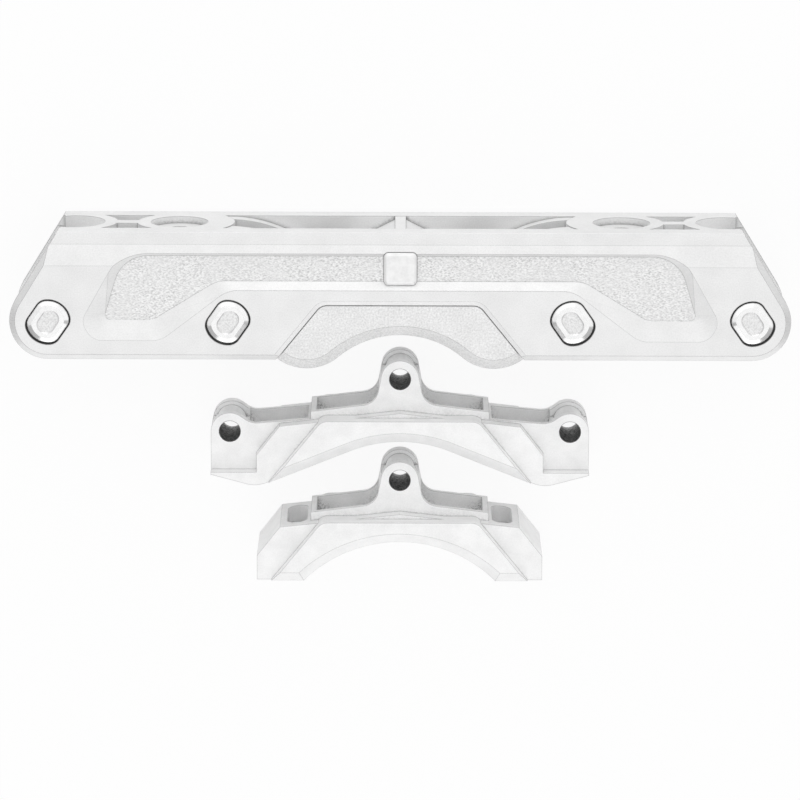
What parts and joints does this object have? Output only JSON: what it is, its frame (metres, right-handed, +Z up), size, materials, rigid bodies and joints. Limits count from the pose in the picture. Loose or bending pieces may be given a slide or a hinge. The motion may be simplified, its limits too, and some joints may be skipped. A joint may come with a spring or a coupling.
{
  "type": "inline skate frame",
  "caption": "Milled aluminium inline skate frame with axles between two side walls, a grind block fitted between the wheels and spare grind blocks lying beside it.",
  "frame": {"origin": "on the table under the middle of the whole set", "axes": "+X along the skate frame, +Y from the wheels to the boot, +Z up from the table"},
  "size_m": [0.2932, 0.1358, 0.046],
  "materials": {
    "frame_metal": "satin, with milled pockets",
    "block_metal": "satin",
    "axle_metal": "polished",
    "screw_steel": "turned",
    "seat_polymer": "matt"
  },
  "bodies": {
    "frame": {"frame_body": "frame_metal", "grind_block": "block_metal", "seat_ring_toe": "seat_polymer", "seat_ring_front": "seat_polymer", "seat_ring_rear": "seat_polymer", "seat_ring_heel": "seat_polymer"},
    "axle_toe": {"axle_toe": "axle_metal"},
    "axle_front": {"axle_front": "axle_metal"},
    "axle_rear": {"axle_rear": "axle_metal"},
    "axle_heel": {"axle_heel": "axle_metal"},
    "axle_screw_toe": {"axle_screw_toe": "screw_steel"},
    "axle_screw_front": {"axle_screw_front": "screw_steel"},
    "axle_screw_rear": {"axle_screw_rear": "screw_steel"},
    "axle_screw_heel": {"axle_screw_heel": "screw_steel"},
    "block_sleeve_nut": {"block_sleeve_nut": "axle_metal"},
    "block_screw": {"block_screw": "screw_steel"},
    "anti_rocker_block": {"anti_rocker_block": "block_metal"},
    "freestyle_block": {"freestyle_block": "block_metal"}
  },
  "joints": [
    {"name": "axle_toe_pull", "type": "slide", "parent": "frame", "child": "axle_toe", "axis": [0, 0, 1], "range_m": [0, 0.05]},
    {"name": "axle_front_pull", "type": "slide", "parent": "frame", "child": "axle_front", "axis": [0, 0, 1], "range_m": [0, 0.05]},
    {"name": "axle_rear_pull", "type": "slide", "parent": "frame", "child": "axle_rear", "axis": [0, 0, 1], "range_m": [0, 0.05]},
    {"name": "axle_heel_pull", "type": "slide", "parent": "frame", "child": "axle_heel", "axis": [0, 0, 1], "range_m": [0, 0.05]},
    {"name": "axle_screw_toe_turn", "type": "hinge", "parent": "frame", "child": "axle_screw_toe", "pos_m": [-0.132, 0.03385, 0], "axis": [0, 0, 1], "continuous": true},
    {"name": "axle_screw_front_turn", "type": "hinge", "parent": "frame", "child": "axle_screw_front", "pos_m": [-0.0646, 0.03385, 0], "axis": [0, 0, 1], "continuous": true},
    {"name": "axle_screw_rear_turn", "type": "hinge", "parent": "frame", "child": "axle_screw_rear", "pos_m": [0.0646, 0.03385, 0], "axis": [0, 0, 1], "continuous": true},
    {"name": "axle_screw_heel_turn", "type": "hinge", "parent": "frame", "child": "axle_screw_heel", "pos_m": [0.132, 0.03385, 0], "axis": [0, 0, 1], "continuous": true},
    {"name": "sleeve_nut_pull", "type": "slide", "parent": "frame", "child": "block_sleeve_nut", "axis": [0, 0, 1], "range_m": [0, 0.05]},
    {"name": "block_screw_turn", "type": "hinge", "parent": "frame", "child": "block_screw", "pos_m": [0, 0.05425, 0], "axis": [0, 0, 1], "continuous": true},
    {"name": "anti_rocker_lift", "type": "slide", "parent": "frame", "child": "anti_rocker_block", "axis": [0, 0, 1], "range_m": [0, 0.06]},
    {"name": "freestyle_lift", "type": "slide", "parent": "frame", "child": "freestyle_block", "axis": [0, 0, 1], "range_m": [0, 0.06]}
  ]
}
